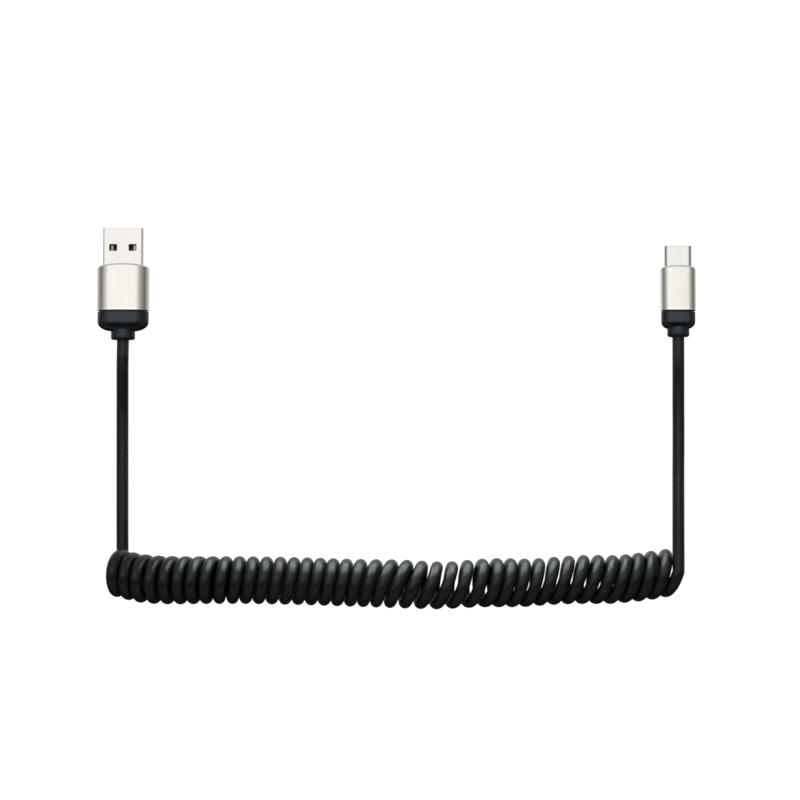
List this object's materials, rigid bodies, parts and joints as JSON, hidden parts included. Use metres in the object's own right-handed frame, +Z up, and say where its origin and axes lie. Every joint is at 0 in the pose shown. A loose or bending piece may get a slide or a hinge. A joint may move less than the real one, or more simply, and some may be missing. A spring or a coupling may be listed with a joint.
{
  "type": "coiled usb-c cable",
  "caption": "Coiled charging cable, USB-A plug to USB-C plug, with satin metal sleeves, black moulded boots and a stretchy black coil.",
  "frame": {"origin": "on the surface that the cable lies on, midway between the outer sides of the two plugs and level with the middle of the USB-A plug", "axes": "+Z up from the surface, +Y the way both plugs point, +X along the coil from the USB-A plug to the USB-C plug"},
  "size_m": [0.182, 0.116, 0.015],
  "materials": {
    "plated_steel": "nickel-plated pressed steel, fine satin",
    "satin_aluminium": "warm silver, satin, lightly blasted and anodised",
    "insulator": "black moulded plastic",
    "gold_contact": "thin gold plating",
    "boot": "black moulded elastomer, fine satin",
    "jacket": "matte black cable jacket"
  },
  "bodies": {
    "root": {"usb_a_shell": "plated_steel", "usb_a_insulator": "insulator", "usb_a_contact_1": "gold_contact", "usb_a_contact_2": "gold_contact", "usb_a_contact_3": "gold_contact", "usb_a_contact_4": "gold_contact", "usb_a_sleeve": "satin_aluminium", "usb_a_boot": "boot", "usb_c_shell": "plated_steel", "usb_c_insulator": "insulator", "usb_c_contacts_upper": "gold_contact", "usb_c_contacts_lower": "gold_contact", "usb_c_sleeve": "satin_aluminium", "usb_c_boot": "boot", "cable_tail_a": "jacket", "cable_coil": "jacket", "cable_tail_c": "jacket"}
  },
  "joints": []
}
